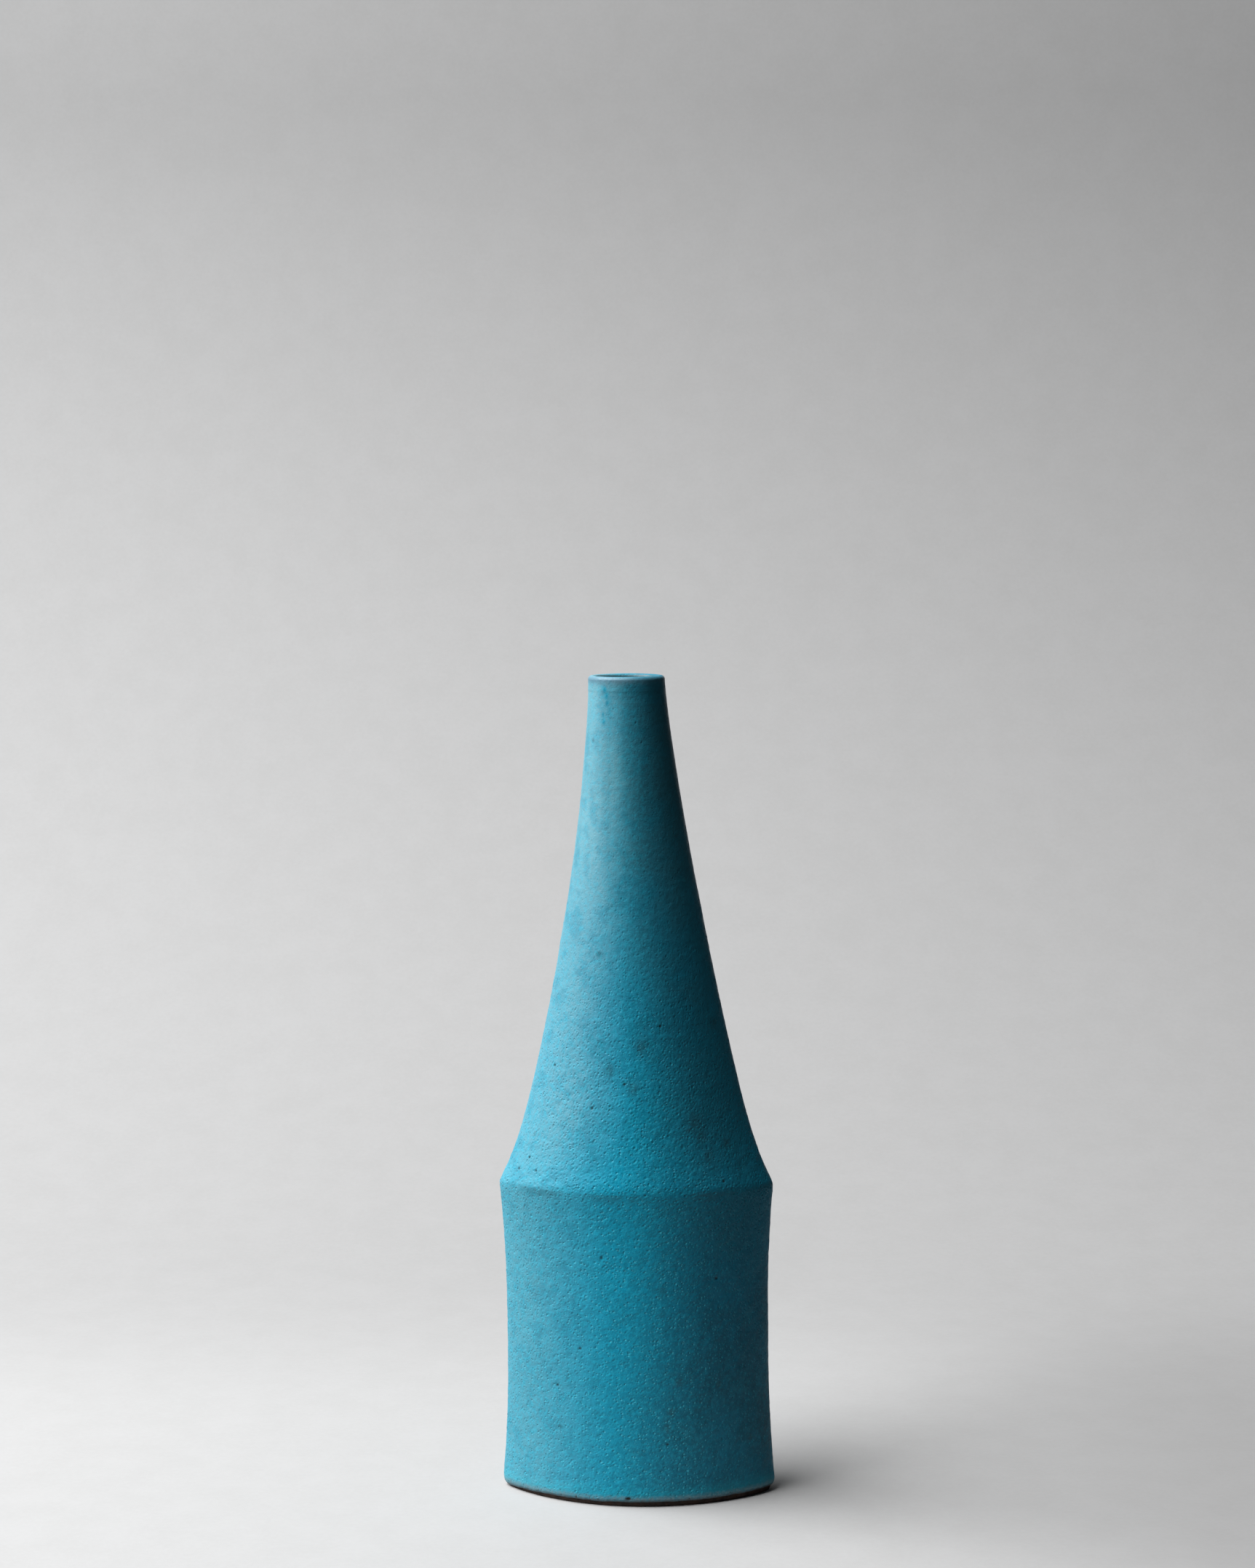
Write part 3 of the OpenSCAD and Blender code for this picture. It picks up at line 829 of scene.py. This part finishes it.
def plain_paper(name, grey):
    """Faintly mottled paper, with painted shade that makes it a little darker behind the vase and to its
    right. It can't be seen from its back, so that it hides nothing from behind."""
    n = Nodes(name)
    mottle = n.math("ADD", n.noise(14.0, 4.0, 0.6), n.noise(1.6, 3.0, 0.7))
    darkest, palest = (grey * 0.975,) * 3, (grey * 1.025, grey * 1.025, grey * 1.03)
    paper = n.blend(n.ramp(mottle, 0.6, 1.4), darkest, palest)
    # Painted shade: darker behind the vase and to its right.
    behind = n.ramp(n.position("Y"), 0.05, 0.24)
    to_the_right = n.times(n.ramp(n.position("X"), 0.04, 0.18), n.math("SUBTRACT", 1.0, behind))
    darker = n.math("ADD", n.times(behind, 0.15), n.times(to_the_right, 0.26))
    colour = n.blend(darker, paper, (0.0, 0.0, 0.0))
    n.put(n.shader.inputs["Base Color"], colour)
    n.put(n.shader.inputs["Roughness"], 0.9)
    n.put(n.shader.inputs["Specular IOR Level"], 0.15)
    one_sided = n.add("ShaderNodeMixShader")
    n.put(one_sided.inputs[0], n.add("ShaderNodeNewGeometry").outputs["Backfacing"])
    n.put(one_sided.inputs[1], n.shader.outputs[0])
    n.put(one_sided.inputs[2], n.add("ShaderNodeBsdfTransparent").outputs[0])
    n.put(n.tree.nodes["Material Output"].inputs["Surface"], one_sided.outputs[0])
    return n.material


TURQUOISE, NECK_TURQUOISE = (0.002, 0.255, 0.395), (0.060, 0.24, 0.305)
BROKEN, LINER_BROKEN = (0.10, 0.20, 0.26), (0.10, 0.14, 0.16)
LINER_DEEP, LINER_GREY = (0.020, 0.09, 0.12), (0.035, 0.075, 0.085)
outer_material = turquoise_glaze("outer_glaze", TURQUOISE, NECK_TURQUOISE, BROKEN)
lip_material = turquoise_glaze("lip_glaze", NECK_TURQUOISE, NECK_TURQUOISE, BROKEN)
liner_material = turquoise_glaze("liner_glaze", LINER_DEEP, LINER_GREY, LINER_BROKEN)
foot_material = clay("foot_clay", (0.016, 0.010, 0.008), (0.040, 0.022, 0.015), (0.07, 0.03, 0.02))
body_material = clay("body_clay", (0.08, 0.05, 0.035), (0.16, 0.10, 0.07), (0.03, 0.02, 0.015))


def dress(piece, material, slot, *nodes):
    """Gives a piece its material, attaches it to the root body and hides the CAD parts that it stands for.
    """
    piece.data.materials.append(material)
    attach(piece, "root")
    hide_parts(*nodes)


dress(drum_glaze, outer_material, "outer_glaze", "drum_glaze")
dress(cone_glaze, outer_material, "outer_glaze", "cone_glaze")
dress(lip_glaze, lip_material, "lip_glaze", "lip_glaze")
dress(liner, liner_material, "liner_glaze", "liner_glaze")
dress(foot, foot_material, "foot_clay", "base_slab")
for node_name in ("drum_wall", "cone_wall", "foot_seam_coil", "shoulder_seam_coil"):
    for material_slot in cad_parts[node_name].material_slots:
        material_slot.material = body_material

# ---- Floor, light and camera -------------------------------------------------------------------

def backdrop():
    """A pale sheet that lies flat under the vase, widens towards the back and sweeps up behind it."""
    flat_front, flat_back, sweep_r, top = -0.14, 0.16, 0.45, 1.3
    half_in_front, half_added, widens_over = 0.20, 0.12, 0.6
    turn = np.linspace(0, np.pi / 2, 33)
    profile = [(y, 0.0) for y in np.linspace(flat_front, flat_back, 12)[:-1]]
    profile += [(flat_back + sweep_r * math.sin(a), sweep_r - sweep_r * math.cos(a)) for a in turn]
    profile += [(flat_back + sweep_r, z) for z in np.linspace(sweep_r, top, 8)[1:]]
    points = []
    for y, z in profile:
        half = half_in_front + half_added * min(max((y - flat_front) / widens_over, 0), 1)
        points += [(-half, y, z), (half, y, z)]
    quads = [(2 * i, 2 * i + 1, 2 * i + 3, 2 * i + 2) for i in range(len(profile) - 1)]
    mesh = bpy.data.meshes.new("backdrop")
    mesh.from_pydata(points, [], quads)
    mesh.polygons.foreach_set("use_smooth", np.ones(len(mesh.polygons), bool))
    sheet = bpy.data.objects.new("backdrop", mesh)
    sheet.data.materials.append(plain_paper("backdrop_paper", 0.342))
    sheet.rotation_euler.z = math.radians(CAMERA_AZIMUTH)
    bpy.context.scene.collection.objects.link(sheet)
    return sheet


backdrop()


def direction(azimuth, elevation):
    """Unit vector from the vase towards an azimuth, counted from the front to the +X side."""
    a, e = math.radians(azimuth), math.radians(elevation)
    return Vector((math.sin(a) * math.cos(e), -math.cos(a) * math.cos(e), math.sin(e)))


def softbox(name, azimuth, elevation, distance, width, height, power):
    """A rectangular lamp turned towards the middle of the vase."""
    lamp = bpy.data.lights.new(name, "AREA")
    lamp.shape = "RECTANGLE"
    lamp.size, lamp.size_y, lamp.energy = width, height, power
    made = bpy.data.objects.new(name, lamp)
    aim = Vector((0, 0, 0.1))
    towards = direction(azimuth, elevation)
    made.location = aim + towards * distance
    made.rotation_euler = towards.to_track_quat("Z", "Y").to_euler()
    bpy.context.scene.collection.objects.link(made)
    return made


softbox("key_softbox", azimuth=CAMERA_AZIMUTH - 80, elevation=54, distance=1.5,
        width=1.4, height=1.3, power=77.0)


def dim_room():
    """A room that gives hardly any light. Past the sheet's edges the camera sees it as pale, but this
    pale tone lights nothing."""
    world = bpy.data.worlds.new("dim_room")
    world.use_nodes = True
    nodes, links = world.node_tree.nodes, world.node_tree.links
    dim_light = nodes["Background"]
    dim_light.inputs["Color"].default_value = (0.9, 0.95, 1.0, 1)
    dim_light.inputs["Strength"].default_value = 0.035
    pale_room = nodes.new("ShaderNodeBackground")
    pale_room.inputs["Color"].default_value = (0.60, 0.61, 0.62, 1)
    seen_or_lit = nodes.new("ShaderNodeMixShader")
    light_path = nodes.new("ShaderNodeLightPath")
    links.new(light_path.outputs["Is Camera Ray"], seen_or_lit.inputs[0])
    links.new(dim_light.outputs[0], seen_or_lit.inputs[1])
    links.new(pale_room.outputs[0], seen_or_lit.inputs[2])
    links.new(seen_or_lit.outputs[0], nodes["World Output"].inputs["Surface"])
    return world


def vase_camera():
    """The camera, which looks slightly down on the vase from a little to its +X side."""
    camera_data = bpy.data.cameras.new("camera")
    camera_data.lens = LENS
    made = bpy.data.objects.new("camera", camera_data)
    level = direction(CAMERA_AZIMUTH, 0) * CAMERA_DISTANCE
    place = Vector((level.x, level.y, CAMERA_HEIGHT)) * MM
    made.matrix_world = (Matrix.Translation(place)
                         @ Matrix.Rotation(math.radians(CAMERA_AZIMUTH + CAMERA_YAW), 4, "Z")
                         @ Matrix.Rotation(math.radians(90 - CAMERA_PITCH), 4, "X")
                         @ Matrix.Rotation(math.radians(CAMERA_ROLL), 4, "Z"))
    bpy.context.scene.collection.objects.link(made)
    return made


bpy.context.scene.world = dim_room()
bpy.context.scene.camera = vase_camera()
bpy.context.scene.view_settings.view_transform = "Standard"
